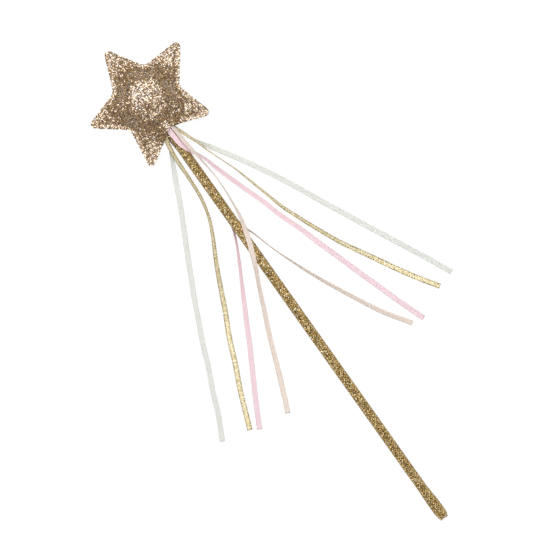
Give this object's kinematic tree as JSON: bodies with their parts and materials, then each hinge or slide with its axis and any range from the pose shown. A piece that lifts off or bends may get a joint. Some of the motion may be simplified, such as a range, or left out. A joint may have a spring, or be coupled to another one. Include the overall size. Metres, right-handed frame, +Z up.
{
  "type": "toy magic wand",
  "caption": "Toy magic wand: a stuffed glitter-fabric star on a braid-covered stick, with loose satin and braid ribbon tails tied in at the star's mouth.",
  "frame": {"origin": "on the table that the wand lies on, under the middle of the box of star and stick", "axes": "+Y along the wand towards the star, +Z up off the table, +X to the right with the star at the top"},
  "size_m": [0.1744, 0.3446, 0.02],
  "materials": {
    "glitter_fabric": "gloss",
    "polyester_filling": "matte",
    "beech_dowel": "matte",
    "lurex_sleeve": "satin",
    "sewing_thread": "satin",
    "white_satin": "satin",
    "gold_braid": "satin",
    "pink_satin": "satin",
    "peach_satin": "satin"
  },
  "bodies": {
    "wand": {"stick_dowel": "beech_dowel", "stick_sleeve": "lurex_sleeve", "star_front": "glitter_fabric", "star_back": "glitter_fabric", "star_filling": "polyester_filling", "seam_thread": "sewing_thread", "ribbon_binding": "sewing_thread", "white_left_ribbon_root": "white_satin", "gold_left_ribbon_root": "gold_braid", "pink_left_ribbon_root": "pink_satin", "peach_left_ribbon_root": "peach_satin", "white_right_ribbon_root": "white_satin", "gold_right_ribbon_root": "gold_braid", "pink_right_ribbon_root": "pink_satin", "peach_right_ribbon_root": "peach_satin"},
    "white_left_tail": {"white_left_ribbon_tail": "white_satin"},
    "gold_left_tail": {"gold_left_ribbon_tail": "gold_braid"},
    "pink_left_tail": {"pink_left_ribbon_tail": "pink_satin"},
    "peach_left_tail": {"peach_left_ribbon_tail": "peach_satin"},
    "white_right_tail": {"white_right_ribbon_tail": "white_satin"},
    "gold_right_tail": {"gold_right_ribbon_tail": "gold_braid"},
    "pink_right_tail": {"pink_right_ribbon_tail": "pink_satin"},
    "peach_right_tail": {"peach_right_ribbon_tail": "peach_satin"}
  },
  "joints": [
    {"name": "white_left_lift", "type": "hinge", "parent": "wand", "child": "white_left_tail", "pos_m": [-0.02528, 0.06118, 0.00042], "axis": [-0.8895, 0.4569, 0], "range_deg": [0, 75]},
    {"name": "gold_left_lift", "type": "hinge", "parent": "wand", "child": "gold_left_tail", "pos_m": [-0.01729, 0.04067, 0.00241], "axis": [-0.884, 0.4676, 0], "range_deg": [0, 75]},
    {"name": "pink_left_lift", "type": "hinge", "parent": "wand", "child": "pink_left_tail", "pos_m": [-0.01449, 0.01666, 0.00277], "axis": [-0.8761, 0.4821, 0], "range_deg": [0, 75]},
    {"name": "peach_left_lift", "type": "hinge", "parent": "wand", "child": "peach_left_tail", "pos_m": [-0.0062, 0.01141, 0.00886], "axis": [-0.9065, 0.4221, 0], "range_deg": [0, 75]},
    {"name": "white_right_lift", "type": "hinge", "parent": "wand", "child": "white_right_tail", "pos_m": [0.03172, 0.06368, 0.00042], "axis": [-0.8723, -0.489, 0], "range_deg": [0, 75]},
    {"name": "gold_right_lift", "type": "hinge", "parent": "wand", "child": "gold_right_tail", "pos_m": [0.02603, 0.04967, 0.00302], "axis": [-0.9642, -0.2652, 0], "range_deg": [0, 75]},
    {"name": "pink_right_lift", "type": "hinge", "parent": "wand", "child": "pink_right_tail", "pos_m": [0.02612, 0.03218, 0.002], "axis": [-0.9484, -0.3171, 0], "range_deg": [0, 75]},
    {"name": "peach_right_lift", "type": "hinge", "parent": "wand", "child": "peach_right_tail", "pos_m": [0.01112, 0.01768, 0.00329], "axis": [-0.9443, -0.3291, 0], "range_deg": [0, 75]}
  ]
}
